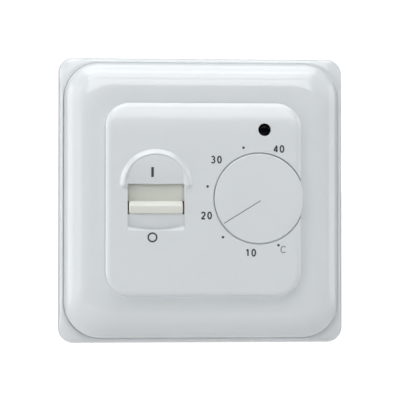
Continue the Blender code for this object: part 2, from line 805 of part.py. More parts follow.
def build_mains_switch():
    """Switch tray on the control board, carriage driven by the slider, bridge, contacts and detent."""
    back = CONTROL_BOARD_FRONT + GAP
    front = SLIDER_BACK - 0.0004
    body = box(
        "mains_switch_body",
        (SWITCH_X - 0.0070, SWITCH_X + 0.0070),
        (-0.0100, 0.0100),
        (back, front),
        colour=BLACK,
        roughness=0.5,
    )
    tray_floor = back + 0.0008
    tray = box(
        "switch_tray", (SWITCH_X - 0.0061, SWITCH_X + 0.0061), (-0.0091, 0.0091), (tray_floor, front + 0.001)
    )
    cut(body, tray)
    carriage = box(
        "switch_carriage",
        (SWITCH_X - 0.0040, SWITCH_X + 0.0040),
        (-0.0062, 0.0),
        (tray_floor + 0.0004, front - 0.0001),
        colour=WHITE,
        roughness=0.5,
    )
    prong = box(
        "carriage_prong",
        (SWITCH_X - 0.0018, SWITCH_X + 0.0018),
        (-0.0036, -0.0012),
        (front - 0.0010, 0.0116),
    )
    join(carriage, prong)
    contact_outs = (tray_floor + 0.0006, tray_floor + 0.0011)
    bridge = box(
        "contact_bridge", (SWITCH_X - 0.0038, SWITCH_X + 0.0038), (GAP, 0.0020), contact_outs,
        colour=BRASS, roughness=0.3, metallic=1.0,
    )
    soften(bridge, 0.0001)
    for side, name in ((-1, "fixed_contact_left"), (1, "fixed_contact_right")):
        x_range = sorted((SWITCH_X + side * 0.0010, SWITCH_X + side * 0.0045))
        contact = box(
            name, x_range, (0.0068, 0.0088), (tray_floor + GAP, tray_floor + 0.0013),
            colour=BRASS, roughness=0.3, metallic=1.0,
        )
        soften(contact, 0.00015)
    build_detent_spring(tray_floor)


def build_detent_spring(tray_floor):
    """A leaf spring beside the carriage, bowed between its two flat ends."""
    steps = 12
    thickness = 0.00025
    bow = 0.0008
    x_flat = SWITCH_X - 0.0057
    low, high = -0.0075, 0.0055
    outline = []
    for side in (0, 1):
        order = range(steps + 1) if side == 0 else range(steps, -1, -1)
        for step in order:
            share = step / steps
            x = x_flat + side * thickness + bow * math.sin(math.pi * share) ** 2
            outline.append((x, low + (high - low) * share))
    outs = (tray_floor + 0.0005, tray_floor + 0.0016)
    rings = [[Vector((x, -out, z)) for x, z in outline] for out in outs]
    loft("detent_spring", rings, colour=STEEL, roughness=0.3, metallic=1.0)


# Power board and what is on it


def build_power_board():
    prism(
        "power_board", POWER_BOARD_HALF, POWER_BOARD_CORNER, (POWER_BOARD_BACK, POWER_BOARD_FRONT),
        steps=HOUSING_CORNER_STEPS, colour=BOARD_GREEN, roughness=0.4,
    )
    relay = box(
        "relay", (-0.0210, -0.0055), (-0.0105, 0.0085), (PARTS_LEVEL - 0.0148, PARTS_LEVEL),
        colour=BLACK, roughness=0.4,
    )
    soften(relay, 0.0005, 2)
    film = box(
        "film_capacitor", (-0.0043, 0.0026), (-0.0090, 0.0090), (PARTS_LEVEL - 0.0120, PARTS_LEVEL),
        colour=(0.75, 0.62, 0.10), roughness=0.35,
    )
    soften(film, 0.0006, 2)
    can_profile = [
        (0.0, PARTS_LEVEL),
        (0.0037, PARTS_LEVEL),
        (0.0040, PARTS_LEVEL - 0.0004),
        (0.0040, PARTS_LEVEL - 0.0011),
        (0.0037, PARTS_LEVEL - 0.0015),
        (0.0040, PARTS_LEVEL - 0.0019),
        (0.0040, PARTS_LEVEL - 0.0112),
        (0.0036, PARTS_LEVEL - 0.0116),
        (0.0, PARTS_LEVEL - 0.0116),
    ]
    navy = (0.03, 0.04, 0.12)
    turned("electrolytic_capacitor", can_profile, 0.0085, 0.0060, colour=navy, roughness=0.3)
    fuse_profile = [
        (0.0, PARTS_LEVEL),
        (0.0030, PARTS_LEVEL),
        (0.0032, PARTS_LEVEL - 0.0005),
        (0.0032, PARTS_LEVEL - 0.0066),
        (0.0026, PARTS_LEVEL - 0.0072),
        (0.0, PARTS_LEVEL - 0.0072),
    ]
    turned("fuse", fuse_profile, 0.0180, -0.0050, colour=(0.10, 0.05, 0.03), roughness=0.4)
    build_varistor()
    build_resistor()


def build_varistor():
    """A coated disc that stands on edge on the power board."""
    disc = cylinder(
        "varistor", 0.0045, -0.0017, 0.0017, 0.0088, -0.0055, colour=(0.05, 0.16, 0.42), roughness=0.45
    )
    disc.rotation_euler = (0.0, 0.0, 0.0)
    disc.location = (0.0088, -(PARTS_LEVEL - 0.0046), -0.0055)
    soften(disc, 0.0006, 2)


def build_resistor():
    """A power resistor lying upright beside the capacitor."""
    body = cylinder(
        "dropper_resistor", 0.0015, -0.0042, 0.0042, 0.0180, 0.0070, steps=16,
        colour=(0.55, 0.50, 0.38), roughness=0.6,
    )
    body.rotation_euler = (0.0, 0.0, 0.0)
    body.location = (0.0180, -(PARTS_LEVEL - 0.0018), 0.0070)
    soften(body, 0.0004, 2)


def pole_places():
    return [(number, (number - (POLES + 1) / 2) * POLE_PITCH) for number in range(1, POLES + 1)]


def build_terminal_block():
    """Six screw terminals: screws face the back, and the wires go in from below."""
    block = box(
        "terminal_block",
        (-BLOCK_HALF_WIDTH, BLOCK_HALF_WIDTH),
        (BLOCK_BOTTOM, BLOCK_TOP),
        (BLOCK_REAR, PARTS_LEVEL),
        colour=GREY,
        roughness=0.45,
    )
    chamber_rear = -0.0159
    chamber_front = -0.0102
    well_floor = -0.0172
    for number, x in pole_places():
        chamber = box(
            f"wire_chamber_{number}",
            (x - 0.0019, x + 0.0019),
            (BLOCK_BOTTOM - 0.001, -0.0150),
            (chamber_rear, chamber_front),
        )
        cut(block, chamber)
        well_outs = (BLOCK_REAR - 0.001, well_floor)
        pass_outs = (well_floor - 0.0003, chamber_rear + 0.0003)
        cut(block, cylinder(f"screw_well_{number}", 0.0020, *well_outs, x, POLE_Z, steps=16))
        cut(block, cylinder(f"screw_pass_{number}", 0.0012, *pass_outs, x, POLE_Z, steps=12))
        build_terminal_clamp(number, x)
        slotted_screw(
            f"terminal_screw_{number}",
            x,
            POLE_Z,
            head=(0.0017, well_floor - GAP, well_floor - GAP - 0.0017),
            shank=(0.0008, -0.0139),
            faces_room=False,
            colour=STEEL,
            roughness=0.3,
            metallic=1.0,
        )


def build_terminal_clamp(number, x):
    """The cage that the screw draws up onto the wire."""
    rear = -0.0155
    front = -0.0106
    clamp = box(
        f"terminal_clamp_{number}",
        (x - 0.0016, x + 0.0016),
        (POLE_Z - 0.0024, POLE_Z + 0.0024),
        (rear, front),
        colour=BRASS,
        roughness=0.35,
        metallic=1.0,
    )
    window = box(
        f"clamp_window_{number}",
        (x - 0.0010, x + 0.0010),
        (POLE_Z - 0.003, POLE_Z + 0.003),
        (-0.0142, -0.0113),
    )
    cut(clamp, window)
    cut(clamp, cylinder(f"clamp_thread_{number}", 0.0011, rear - 0.001, -0.0140, x, POLE_Z, steps=12))


build_wall_frame()
build_trim_frame()
build_front_cover()
build_power_slider()
build_temperature_knob()
build_limit_ring("min_limit_ring", MIN_RING_RADII, MIN_TAB_ANGLE, (0.10, 0.25, 0.65))
build_limit_ring("max_limit_ring", MAX_RING_RADII, MAX_TAB_ANGLE, (0.70, 0.08, 0.06))
build_indicator()
build_mounting_plate()
build_chassis()
build_rear_housing()
build_screws()
build_control_board()
build_potentiometer()
build_mains_switch()
build_power_board()
build_terminal_block()
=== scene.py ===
"""Looks of the wall thermostat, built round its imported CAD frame.

Metres, +Z up. The front faces -Y. As in the CAD, "out" is the distance from the wall plane towards the
room, so out = -y.
"""

import json
import math

import bmesh
import bpy
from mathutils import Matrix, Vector

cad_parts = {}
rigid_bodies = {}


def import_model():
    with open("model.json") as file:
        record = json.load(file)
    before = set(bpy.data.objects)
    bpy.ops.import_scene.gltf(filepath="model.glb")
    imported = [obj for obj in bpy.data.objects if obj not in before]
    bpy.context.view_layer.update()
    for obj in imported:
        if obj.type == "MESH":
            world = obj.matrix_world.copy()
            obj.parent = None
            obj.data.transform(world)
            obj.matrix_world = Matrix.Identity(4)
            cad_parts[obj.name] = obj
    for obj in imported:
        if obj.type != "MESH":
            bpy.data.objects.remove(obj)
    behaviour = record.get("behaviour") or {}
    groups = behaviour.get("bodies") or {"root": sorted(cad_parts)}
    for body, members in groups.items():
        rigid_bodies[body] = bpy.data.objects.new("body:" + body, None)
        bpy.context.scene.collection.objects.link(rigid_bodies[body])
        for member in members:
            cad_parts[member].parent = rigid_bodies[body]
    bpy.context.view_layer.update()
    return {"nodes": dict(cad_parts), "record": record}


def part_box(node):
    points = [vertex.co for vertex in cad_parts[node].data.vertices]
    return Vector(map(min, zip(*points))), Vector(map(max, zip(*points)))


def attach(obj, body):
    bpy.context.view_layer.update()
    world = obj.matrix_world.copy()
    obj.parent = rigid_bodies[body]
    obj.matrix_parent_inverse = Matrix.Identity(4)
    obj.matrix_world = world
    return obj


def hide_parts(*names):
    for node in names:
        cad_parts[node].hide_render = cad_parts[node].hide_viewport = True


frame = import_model()

MM = 0.001
GAP = 0.3 * MM  # the usual clearance between pieces
COVER_WIDENING = 0.25 * MM  # the cover all but touches the trim
WELL_GAP = 0.36 * MM  # round the knob
INK_LIFT = 0.02 * MM  # how far printed marks stand proud


def outs_of(node):
    """(nearest the wall box, farthest into the room) of a CAD node."""
    low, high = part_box(node)
    return -high.y, -low.y


# Places and sizes that come from the frame

WALL_FRAME_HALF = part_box("wall_frame")[1].x
WALL_FRAME_OUT = outs_of("wall_frame")[1]
TRIM_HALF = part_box("trim_frame")[1].x
TRIM_BACK, TRIM_CREST = outs_of("trim_frame")
COVER_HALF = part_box("front_cover")[1].x + COVER_WIDENING
COVER_BACK = outs_of("front_cover")[0]
CHASSIS_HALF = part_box("chassis")[1].x
knob_low, knob_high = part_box("temperature_knob")
KNOB_X = (knob_low.x + knob_high.x) / 2
KNOB_Z = (knob_low.z + knob_high.z) / 2
KNOB_RADIUS = (knob_high.x - knob_low.x) / 2
KNOB_BACK, COVER_FACE = outs_of("temperature_knob")
slider_low, slider_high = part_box("power_slider")
SWITCH_X = (slider_low.x + slider_high.x) / 2
SLIDER_HALF_WIDTH = (slider_high.x - slider_low.x) / 2
SLIDER_BACK, GRIP_OUT = outs_of("power_slider")
lens_low, lens_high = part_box("indicator_lens")
INDICATOR_X = (lens_low.x + lens_high.x) / 2
INDICATOR_Z = (lens_low.z + lens_high.z) / 2
LENS_BACK = outs_of("indicator_lens")[0]

# Sizes of the visible shapes

COVER_WALL = 1.6 * MM
COVER_CORNER = 7.1 * MM
COVER_TOP_SHARE = 0.991  # the cover is a little lower than it is wide
COVER_BOTTOM_SHARE = 0.986
CROWN_START = 18.7 * MM  # above this height the cover's face falls away
CROWN_FALL = 1.3 * MM  # how far it has fallen at the top edge
TRIM_CORNER = 10.6 * MM
WALL_FRAME_CORNER = 4.3 * MM
FRAME_LINE = 0.16 * MM  # the dark line between the wall frame and the trim
CORNER_STEPS = 20
SHARP_ANGLE = 32.0  # degrees
FINE_BEVEL = 0.08 * MM
SLOT_HALF_WIDTH = 8.0 * MM
SLOT_TOP = 4.4 * MM
SLOT_BOTTOM = -4.2 * MM
HOOD_Z = 4.0 * MM
HOOD_FOOT_RADIUS = 10.25 * MM
HOOD_CREST_RADIUS = 9.0 * MM
HOOD_INNER_RADIUS = 7.75 * MM
HOOD_CREST_OUT = COVER_FACE + 0.95 * MM
HOOD_LEG = 0.9 * MM
HOOD_FLOOR_TOP = HOOD_Z + 8.75 * MM
SCOOP_LINE = -8.9 * MM
SCOOP_ARC_MIDDLE = -8.4 * MM
SCOOP_ARC_SIDE = -7.3 * MM
GRIP_HALF_WIDTH = 7.6 * MM
GRIP_TOP = -0.5 * MM
GRIP_BOTTOM = -4.12 * MM
SLIDER_PLATE_OUT = 11.1 * MM
SLIDER_SINK = 0.9 * MM
INDICATOR_RADIUS = 1.8 * MM
WELL_RADIUS = KNOB_RADIUS + WELL_GAP
WELL_FLOOR = 9.3 * MM
SHAFT_HOLE_RADIUS = 2.6 * MM
KNOB_SKIRT_BACK = 10.7 * MM  # it passes over the trim beside the cover
DIGIT_HEIGHT = 2.25 * MM
DIGIT_WEIGHT = 0.42 * MM
DOT_SIZE = 0.74 * MM
NUMBERS = (  # the words, and where they lie round the dial: degrees and radius
    ("10", -99.1, 15.54 * MM),
    ("20", -162.1, 15.74 * MM),
    ("30", 138.0, 16.4 * MM),
    ("40", 68.3, 15.12 * MM),
)
UNIT_PLACE = (-65.0, 15.95 * MM)
DEGREE_DOT_PLACE = (-67.63, 14.3 * MM)  # the dot before the unit letter
HALF_WAY_RADIUS = 15.05 * MM
POINTER_WIDTH = 0.27 * MM
MARK_X = SWITCH_X - 1.0 * MM  # where the marks for on and off stand
OFF_MARK_Z = -10.7 * MM
OFF_MARK_SIZE = 2.85 * MM
OFF_MARK_WEIGHT = 0.46 * MM
ON_MARK_LOW = 6.3 * MM
ON_MARK_HIGH = 9.1 * MM
ON_MARK_WIDTH = 0.72 * MM

# Pieces that stay free of shadows from the fill lights
FILLED_PIECES = (
    "trim_frame_shell",
    "cover_shell",
    "dial_knob",
    "scale_print",
    "unit_print",
    "pointer_line",
)

# Brightness of the sky that lights the object, in even steps from straight down to straight up
DOME = (0.0, 0.0, 0.18, 0.0, 0.17, 0.0, 0.0, 0.0, 0.0)
DOME_TINT = (0.95, 0.98, 1.0)

# Materials

SMOOTHEST = 0.85  # a surface's roughness varies between these shares of its own
ROUGHEST = 1.2
MASK_GREEN = (0.016, 0.17, 0.075, 1.0)
TRACK_GREEN = (0.020, 0.22, 0.095, 1.0)
GROOVE_GREEN = (0.010, 0.11, 0.05, 1.0)


def new_material(name):
    material = bpy.data.materials.new(name)
    material.use_nodes = True
    shader = material.node_tree.nodes["Principled BSDF"]
    return material, shader


def add_node(material, kind, **inputs):
    node = material.node_tree.nodes.new(kind)
    for name, value in inputs.items():
        node.inputs[name.replace("_", " ")].default_value = value
    return node


def link(material, source, target):
    material.node_tree.links.new(source, target)


def noise(material, scale, detail=3.0, stretch=None):
    """Noise in object space, at cells per metre."""
    place = add_node(material, "ShaderNodeTexCoord")
    texture = add_node(material, "ShaderNodeTexNoise", Scale=scale, Detail=detail)
    if stretch is None:
        link(material, place.outputs["Object"], texture.inputs["Vector"])
        return texture
    mapping = add_node(material, "ShaderNodeMapping", Scale=stretch)
    link(material, place.outputs["Object"], mapping.inputs["Vector"])
    link(material, mapping.outputs["Vector"], texture.inputs["Vector"])
    return texture


def vary_colour(material, shader, texture, first, second):
    """The base colour goes from the first to the second over the middle of the noise."""
    low = 0.35
    high = 0.65
    ramp = add_node(material, "ShaderNodeValToRGB")
    ramp.color_ramp.elements[0].position = low
    ramp.color_ramp.elements[0].color = (*first, 1.0)
    ramp.color_ramp.elements[1].position = high
    ramp.color_ramp.elements[1].color = (*second, 1.0)
    link(material, texture.outputs["Fac"], ramp.inputs["Fac"])
    link(material, ramp.outputs["Color"], shader.inputs["Base Color"])


def vary_roughness(material, shader, texture, smoothest, roughest):
    """The roughness goes from one value to the other over the middle of the noise."""
    low = 0.3
    high = 0.7
    spread = add_node(material, "ShaderNodeMapRange")
    spread.inputs["From Min"].default_value = low
    spread.inputs["From Max"].default_value = high
    spread.inputs["To Min"].default_value = smoothest
    spread.inputs["To Max"].default_value = roughest
    link(material, texture.outputs["Fac"], spread.inputs["Value"])
    link(material, spread.outputs["Result"], shader.inputs["Roughness"])


def add_bump(material, shader, texture, strength, depth):
    bump = add_node(material, "ShaderNodeBump", Strength=strength, Distance=depth)
    link(material, texture.outputs["Fac"], bump.inputs["Height"])
    link(material, bump.outputs["Normal"], shader.inputs["Normal"])


def shade_of(colour, share):
    return tuple(channel * share for channel in colour)


def moulded_plastic(name, colour, roughness, grain, grain_depth, coat=0.0, spread=0.03, specular=0.5):
    """Moulded plastic: faint flow marks in colour and gloss, and a fine surface texture."""
    material, shader = new_material(name)
    flow = noise(material, 60.0, 2.0)
    vary_colour(material, shader, flow, shade_of(colour, 1.0 - spread), shade_of(colour, 1.0 + spread))
    gloss = noise(material, 220.0)
    vary_roughness(material, shader, gloss, roughness * SMOOTHEST, roughness * ROUGHEST)
    add_bump(material, shader, noise(material, grain, 2.0), 0.25, grain_depth)
    shader.inputs["IOR"].default_value = 1.5
    shader.inputs["Coat Weight"].default_value = coat
    shader.inputs["Coat Roughness"].default_value = 0.05
    shader.inputs["Specular IOR Level"].default_value = specular
    return material


def plated_metal(name, colour, roughness, stretch):
    """Rolled and plated sheet or turned metal, with fine lines along one direction."""
    material, shader = new_material(name)
    lines = noise(material, 4500.0, 3.0, stretch=stretch)
    blotches = noise(material, 90.0, 2.0)
    vary_colour(material, shader, blotches, shade_of(colour, 0.93), colour)
    vary_roughness(material, shader, lines, roughness * SMOOTHEST, roughness * ROUGHEST)
    add_bump(material, shader, lines, 0.1, 0.004 * MM)
    shader.inputs["Metallic"].default_value = 1.0
    return material


def circuit_board(name):
    """Green solder mask, with the copper tracks showing faintly through it."""
    material, shader = new_material(name)
    place = add_node(material, "ShaderNodeTexCoord")
    tracks = add_node(material, "ShaderNodeTexBrick", Scale=420.0)
    tracks.inputs["Color1"].default_value = MASK_GREEN
    tracks.inputs["Color2"].default_value = TRACK_GREEN
    tracks.inputs["Mortar"].default_value = GROOVE_GREEN
    tracks.inputs["Mortar Size"].default_value = 0.03
    turn = add_node(material, "ShaderNodeMapping")
    turn.inputs["Rotation"].default_value = (math.pi / 2, 0.0, 0.0)
    link(material, place.outputs["Object"], turn.inputs["Vector"])
    link(material, turn.outputs["Vector"], tracks.inputs["Vector"])
    link(material, tracks.outputs["Color"], shader.inputs["Base Color"])
    vary_roughness(material, shader, noise(material, 300.0), 0.28, 0.42)
    bump = add_node(material, "ShaderNodeBump", Strength=0.4, Distance=0.03 * MM)
    link(material, tracks.outputs["Fac"], bump.inputs["Height"])
    link(material, bump.outputs["Normal"], shader.inputs["Normal"])
    return material


WHITE = (0.775, 0.812, 0.835)
MATERIALS = {
    "white_cover": moulded_plastic("cover_plastic", WHITE, 0.17, 2600.0, 0.006 * MM, 0.4, spread=0.004),
    "white_trim": moulded_plastic("trim_plastic", WHITE, 0.07, 900.0, 0.002 * MM, 0.3, spread=0.004),
    "cream_slider": moulded_plastic("slider_plastic", (0.775, 0.79, 0.73), 0.30, 2200.0, 0.01 * MM),
    "smoked_lens": moulded_plastic(
        "smoked_lens", (0.002, 0.002, 0.003), 0.12, 1500.0, 0.001 * MM, specular=0.1
    ),
    "printed_grey": moulded_plastic("printing_ink", (0.044, 0.048, 0.053), 0.55, 3000.0, 0.006 * MM),
    "grey_plastic": moulded_plastic("housing_plastic", (0.42, 0.43, 0.44), 0.45, 3200.0, 0.03 * MM),
    "black_plastic": moulded_plastic("component_plastic", (0.025, 0.025, 0.028), 0.45, 2600.0, 0.02 * MM),
    "blue_plastic": moulded_plastic("blue_ring_plastic", (0.05, 0.16, 0.50), 0.35, 2400.0, 0.01 * MM),
    "red_plastic": moulded_plastic("red_ring_plastic", (0.55, 0.04, 0.035), 0.35, 2400.0, 0.01 * MM),
    "circuit_board": circuit_board("circuit_board"),
    "zinc_steel": plated_metal("zinc_plated_steel", (0.66, 0.67, 0.69), 0.33, (1.0, 1.0, 0.06)),
    "brass_contact": plated_metal("bright_brass", (0.80, 0.60, 0.26), 0.28, (0.1, 1.0, 1.0)),
    "film_yellow": moulded_plastic("capacitor_box", (0.72, 0.55, 0.06), 0.35, 1800.0, 0.01 * MM),
    "navy_sleeve": moulded_plastic("shrink_sleeve", (0.02, 0.03, 0.10), 0.25, 1500.0, 0.01 * MM),
    "blue_ceramic": moulded_plastic("dipped_ceramic", (0.03, 0.12, 0.36), 0.40, 900.0, 0.05 * MM),
    "resistor_body": moulded_plastic("resistor_lacquer", (0.50, 0.45, 0.33), 0.60, 1800.0, 0.03 * MM),
    "fuse_brown": moulded_plastic("fuse_cap", (0.09, 0.045, 0.028), 0.40, 2000.0, 0.02 * MM),
    "led_red": moulded_plastic("tinted_epoxy", (0.50, 0.03, 0.025), 0.12, 800.0, 0.002 * MM),
}
PALE_INK = moulded_plastic("pale_ink", (0.22, 0.23, 0.24), 0.55, 3000.0, 0.006 * MM)


# Mesh helpers


def add_object(name, mesh):
    obj = bpy.data.objects.new(name, mesh)
    bpy.context.scene.collection.objects.link(obj)
    return obj


def mesh_of(name, shape):
    same_place = 1e-7
    mesh = bpy.data.meshes.new(name)
    bmesh.ops.remove_doubles(shape, verts=shape.verts, dist=same_place)
    bmesh.ops.recalc_face_normals(shape, faces=shape.faces)
    shape.to_mesh(mesh)
    shape.free()
    return mesh


def rounded_ring(half, corner, out):
    """Points round a square with round corners, centred on the origin and parallel to the wall."""
    points = []
    for quarter, (side_x, side_z) in enumerate(((1, 1), (-1, 1), (-1, -1), (1, -1))):
        centre_x = side_x * (half - corner)
        centre_z = side_z * (half - corner)
        for step in range(CORNER_STEPS + 1):
            angle = math.pi / 2 * (quarter + step / CORNER_STEPS)
            point_x = centre_x + corner * math.cos(angle)
            point_z = centre_z + corner * math.sin(angle)
            points.append(Vector((point_x, -out, point_z)))
    return points


def circle_ring(radius, out, x, z, steps):
    turns = [2 * math.pi * step / steps for step in range(steps)]
    return [Vector((x + radius * math.cos(turn), -out, z + radius * math.sin(turn))) for turn in turns]


def seat_on_cover(rings, amounts):
    """Draws rings in above and below, to the cover's height. An amount of 1 is fully, 0 not at all."""
    for ring, amount in zip(rings, amounts):
        for point in ring:
            share = COVER_TOP_SHARE if point.z > 0 else COVER_BOTTOM_SHARE
            point.z *= 1 - (1 - share) * amount
    return rings


def loft(name, rings, endless=False):
    """A solid through rings of equal length: capped at both ends, or endless like a picture frame."""
    shape = bmesh.new()
    loops = [[shape.verts.new(point) for point in ring] for ring in rings]
    pairs = list(zip(loops, loops[1:]))
    if endless:
        pairs.append((loops[-1], loops[0]))
    else:
        shape.faces.new(loops[0])
        shape.faces.new(loops[-1])
    for first, second in pairs:
        for index in range(len(first)):
            following = (index + 1) % len(first)
            corners = (first[index], first[following], second[following], second[index])
            shape.faces.new(corners)
    return add_object(name, mesh_of(name, shape))


def turned(name, profile, x, z, steps=96):
    """A profile of (radius, out) turned about an axis square to the wall."""
    least_radius = 1e-6
    rings = [circle_ring(max(radius, least_radius), out, x, z, steps) for radius, out in profile]
    return loft(name, rings)


def grid_block(name, columns, rows, point, far_out):
    """A solid between a grid of points, each given by point(i, j), and a flat face at far_out."""
    shape = bmesh.new()
    near = [[shape.verts.new(point(i, j)) for j in range(rows + 1)] for i in range(columns + 1)]
    far = [
        [shape.verts.new(Vector((vert.co.x, -far_out, vert.co.z))) for vert in line] for line in near
    ]
    for i in range(columns):
        for j in range(rows):
            for sheet in (near, far):
                shape.faces.new((sheet[i][j], sheet[i + 1][j], sheet[i + 1][j + 1], sheet[i][j + 1]))
    for i in range(columns):
        for j in (0, rows):
            shape.faces.new((near[i][j], near[i + 1][j], far[i + 1][j], far[i][j]))
    for j in range(rows):
        for i in (0, columns):
            shape.faces.new((near[i][j], near[i][j + 1], far[i][j + 1], far[i][j]))
    return add_object(name, mesh_of(name, shape))


def box(name, x_range, z_range, out_range):
    size = (x_range[1] - x_range[0], out_range[1] - out_range[0], z_range[1] - z_range[0])
    centre = Vector((sum(x_range) / 2, -sum(out_range) / 2, sum(z_range) / 2))
    shape = bmesh.new()
    bmesh.ops.create_cube(shape, size=1.0)
    bmesh.ops.scale(shape, vec=size, verts=shape.verts)
    bmesh.ops.translate(shape, vec=centre, verts=shape.verts)
    return add_object(name, mesh_of(name, shape))


def flared_bore(name, radius, outs, flare, x, z, steps):
    """A round cutter whose mouth widens in a small round at the front: it leaves a soft edge."""
    face = outs[1]
    overrun = 2 * MM
    flare_steps = 5
    profile = [(radius, outs[0])]
    for step in range(flare_steps + 1):
        turn = math.pi / 2 * step / flare_steps
        profile.append((radius + flare * (1 - math.cos(turn)), face - flare + flare * math.sin(turn)))
    profile.append((radius + flare, face + overrun))
    return turned(name, profile, x, z, steps)


def combine(target, other, operation):
    """Applies the Boolean at once and removes the other object."""
    modifier = target.modifiers.new("Boolean", "BOOLEAN")
    modifier.operation = operation
    modifier.solver = "EXACT"
    modifier.object = other
    bpy.context.view_layer.update()
    evaluated = target.evaluated_get(bpy.context.evaluated_depsgraph_get())
    mesh = bpy.data.meshes.new_from_object(evaluated)
    target.modifiers.clear()
    target.data = mesh
    bpy.data.objects.remove(other, do_unlink=True)


def finish_piece(obj, slot, body, *nodes, sharp=SHARP_ANGLE, material=None):
    """Material (the slot's own unless another is given), smooth shading and its place in the frame."""
    obj.data.materials.clear()
    obj.data.materials.append(material or MATERIALS[slot])
    obj.data.shade_smooth()
    obj.data.set_sharp_from_angle(angle=math.radians(sharp))
    weighted = obj.modifiers.new("Weighted", "WEIGHTED_NORMAL")
    weighted.keep_sharp = True
    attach(obj, body)
    if nodes:
        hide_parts(*nodes)
    return obj


# Frames


def build_wall_frame():
    """The outer frame on the wall. Its front falls away all round, and the trim stands in a pocket."""
    half = WALL_FRAME_HALF
    web_thickness = 0.4 * MM
    web_back = outs_of("mounting_plate")[1] + GAP
    web_front = web_back + web_thickness
    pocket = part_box("mounting_plate")[1].x + 0.5 * MM
    pocket_corner = 3.0 * MM
    opening = CHASSIS_HALF + 0.4 * MM
    opening_corner = 4.6 * MM
    line = TRIM_HALF + FRAME_LINE
    line_corner = TRIM_CORNER + FRAME_LINE
    edge_out = 0.5 * MM
    edge_steps = 12
    sections = [(half, 0.0, WALL_FRAME_CORNER)]
    for step in range(edge_steps + 1):
        turn = math.pi / 2 * step / edge_steps
        share = 1 - math.cos(turn)
        reach = half + (line - half) * share
        corner = WALL_FRAME_CORNER + (line_corner - WALL_FRAME_CORNER) * share
        sections.append((reach, edge_out + (WALL_FRAME_OUT - edge_out) * math.sin(turn), corner))
    sections += [
        (line, web_front, line_corner),
        (opening, web_front, opening_corner),
        (opening, web_back, opening_corner),
        (pocket, web_back, pocket_corner),
        (pocket, 0.0, pocket_corner),
    ]
    rings = [rounded_ring(reach, radius, out) for reach, out, radius in sections]
    finish_piece(loft("wall_frame_shell", rings, endless=True), "white_trim", "case", "wall_frame")


def trim_front(inner, inner_corner):
    """The front of the trim's section as (reach, out, corner): outer edge, crown, land and inner edge."""
    crown_width = 8.3 * MM
    crown_steps = 28
    edge_out = 4.1 * MM
    edge_round = 0.2 * MM
    edge_steps = 4
    land_fall = 0.22 * MM
    land_steps = 6
    width = TRIM_HALF - inner
    land_width = width - crown_width - edge_round

    def corner_at(reach):
        return TRIM_CORNER + (inner_corner - TRIM_CORNER) * (TRIM_HALF - reach) / width

    sections = [(TRIM_HALF, TRIM_BACK, TRIM_CORNER)]
    for step in range(crown_steps + 1):
        turn = math.pi / 2 * step / crown_steps
        reach = TRIM_HALF - crown_width * (1 - math.cos(turn))
        sections.append((reach, edge_out + (TRIM_CREST - edge_out) * math.sin(turn), corner_at(reach)))
    for step in range(1, land_steps + 1):
        share = step / land_steps
        reach = TRIM_HALF - crown_width - land_width * share
        sections.append((reach, TRIM_CREST - land_fall * share**2, corner_at(reach)))
    for step in range(1, edge_steps + 1):
        turn = math.pi / 2 * step / edge_steps
        reach = inner + edge_round * (1 - math.sin(turn))
        drop = land_fall + edge_round * (1 - math.cos(turn))
        sections.append((reach, TRIM_CREST - drop, corner_at(reach)))
    return sections


def trim_back(inner, inner_corner):
    """The back of the trim's section: the lip behind the cover, and the hollow under the crown."""
    wall = 1.8 * MM
    lip = CHASSIS_HALF + GAP
    lip_front = COVER_BACK - GAP
    lip_corner = 5.0 * MM
    hollow_inner = inner + wall
    hollow_inner_corner = 7.5 * MM
    hollow_outer = TRIM_HALF - wall
    hollow_outer_corner = 8.5 * MM
    return [
        (inner, lip_front, inner_corner),
        (lip, lip_front, lip_corner),
        (lip, TRIM_BACK, lip_corner),
        (hollow_inner, TRIM_BACK, hollow_inner_corner),
        (hollow_inner, TRIM_CREST - wall, hollow_inner_corner),
        (TRIM_HALF - 5.5 * MM, TRIM_CREST - 2.8 * MM, 8.2 * MM),
        (hollow_outer, TRIM_BACK + 0.8 * MM, hollow_outer_corner),
        (hollow_outer, TRIM_BACK, hollow_outer_corner),
    ]


def build_trim_frame():
    """The glossy frame, drawn in gradually towards the cover."""
    inner = COVER_HALF + 0.05 * MM
    inner_corner = COVER_CORNER + GAP
    sections = trim_front(inner, inner_corner) + trim_back(inner, inner_corner)
    rings = [rounded_ring(reach, corner, out) for reach, out, corner in sections]
    width = TRIM_HALF - COVER_HALF
    amounts = [min(1.0, (TRIM_HALF - reach) / width) for reach, _, _ in sections]
    seated = seat_on_cover(rings, amounts)
    finish_piece(loft("trim_frame_shell", seated, endless=True), "white_trim", "case", "trim_frame")


# Centre cover


def crown_drop(z):
    """How far the cover's face falls away towards its top edge."""
    rise = max(0.0, z - CROWN_START)
    return CROWN_FALL * (rise / (COVER_HALF - CROWN_START)) ** 2


def cover_inside():
    """The cover's hidden side as (reach, out, corner), from its flat inner face to its foot."""
    inner_half = COVER_HALF - COVER_WALL
    inner_corner = COVER_CORNER - COVER_WALL
    inner_face = COVER_FACE - COVER_WALL
    return [
        (inner_half - 2.4 * MM, inner_face, inner_corner - 2.0 * MM),
        (inner_half - 1.2 * MM, inner_face - 0.3 * MM, inner_corner - 1.2 * MM),
        (inner_half, inner_face - 1.6 * MM, inner_corner),
        (inner_half, COVER_BACK, inner_corner),
        (COVER_HALF, COVER_BACK, COVER_CORNER),
    ]


